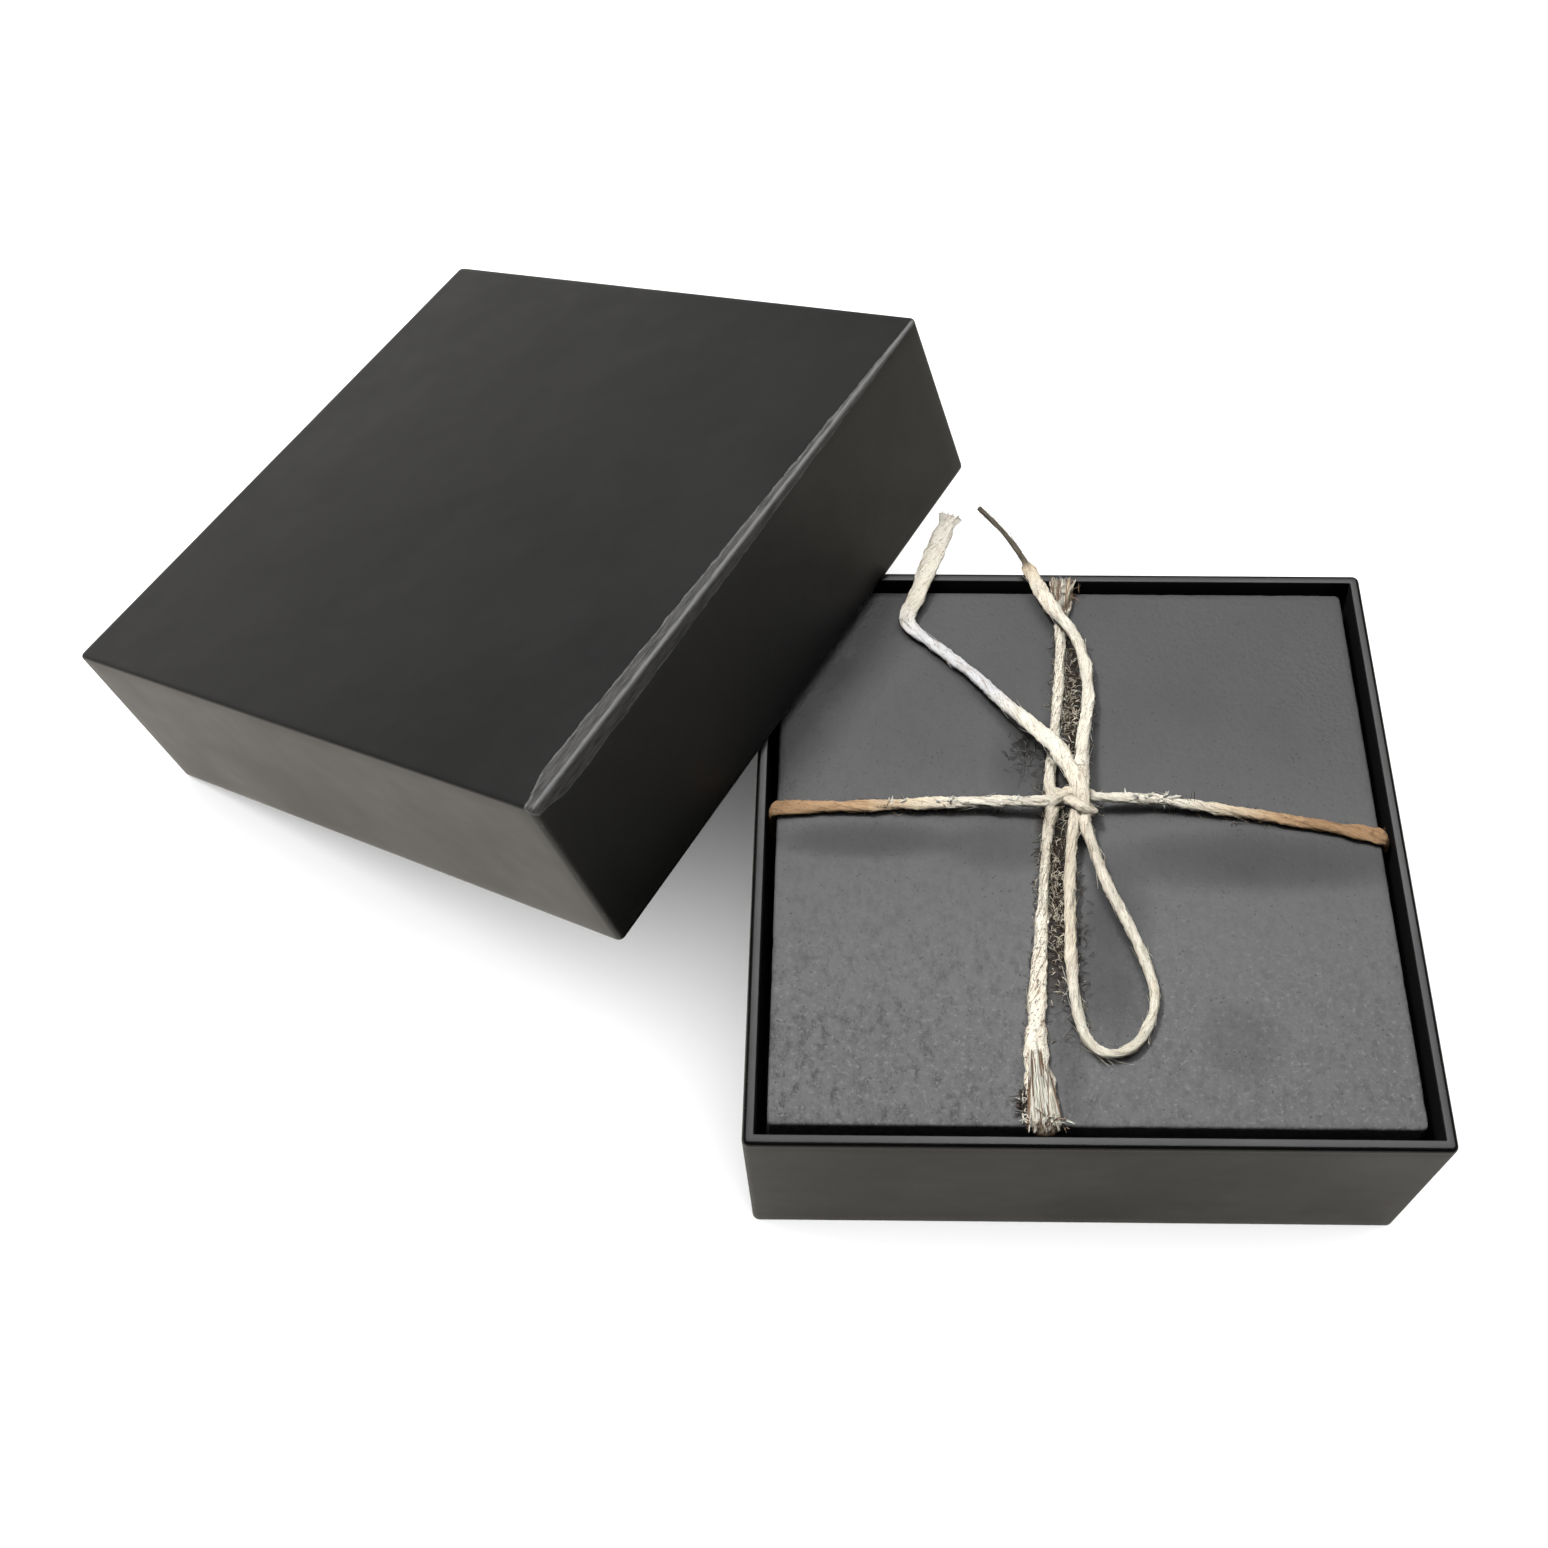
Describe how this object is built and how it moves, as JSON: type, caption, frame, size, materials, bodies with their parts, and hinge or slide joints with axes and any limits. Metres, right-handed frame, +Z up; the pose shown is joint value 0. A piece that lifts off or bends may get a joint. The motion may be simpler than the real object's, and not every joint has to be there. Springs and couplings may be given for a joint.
{
  "type": "gift box",
  "caption": "Open two-part rigid gift box: paper-wrapped tray with its lid leaning on one corner, holding a square stack of slabs tied crosswise with jute twine.",
  "frame": {"origin": "centre of the tray's underside, on the surface that the box stands on", "axes": "+Z up, +X to the tray's right and +Y to its back, both square to the tray's walls; the lid leans at the back left"},
  "size_m": [0.2358, 0.1952, 0.0728],
  "materials": {
    "greyboard": "raw grey chipboard",
    "stay_paper": "plain kraft tape",
    "wrap_paper": "black wrap paper, satin, lightly scuffed at the edges",
    "lining_paper": "matte black lining paper",
    "slab": "dark grey, finely mottled, matte",
    "jute": "twisted cream jute with stray fibres"
  },
  "bodies": {
    "base": {"base_board": "greyboard", "base_corner_stay_1": "stay_paper", "base_corner_stay_2": "stay_paper", "base_corner_stay_3": "stay_paper", "base_corner_stay_4": "stay_paper", "base_wrap": "wrap_paper", "base_lining": "lining_paper"},
    "pack": {"slab_1": "slab", "slab_2": "slab", "slab_3": "slab", "slab_4": "slab", "slab_5": "slab", "slab_6": "slab", "twine_across": "jute", "twine_lengthwise": "jute", "twine_knot": "jute", "twine_loop": "jute", "twine_tail_left": "jute", "twine_tail_right": "jute"},
    "lid": {"lid_board": "greyboard", "lid_corner_stay_1": "stay_paper", "lid_corner_stay_2": "stay_paper", "lid_corner_stay_3": "stay_paper", "lid_corner_stay_4": "stay_paper", "lid_wrap": "wrap_paper", "lid_lining": "lining_paper"}
  },
  "joints": [
    {"name": "pack_lift", "type": "slide", "parent": "base", "child": "pack", "axis": [0, 0, 1], "range_m": [0, 0.08]},
    {"name": "lid_lift", "type": "slide", "parent": "pack", "child": "lid", "axis": [0, 0, 1], "range_m": [0, 0.12]}
  ]
}
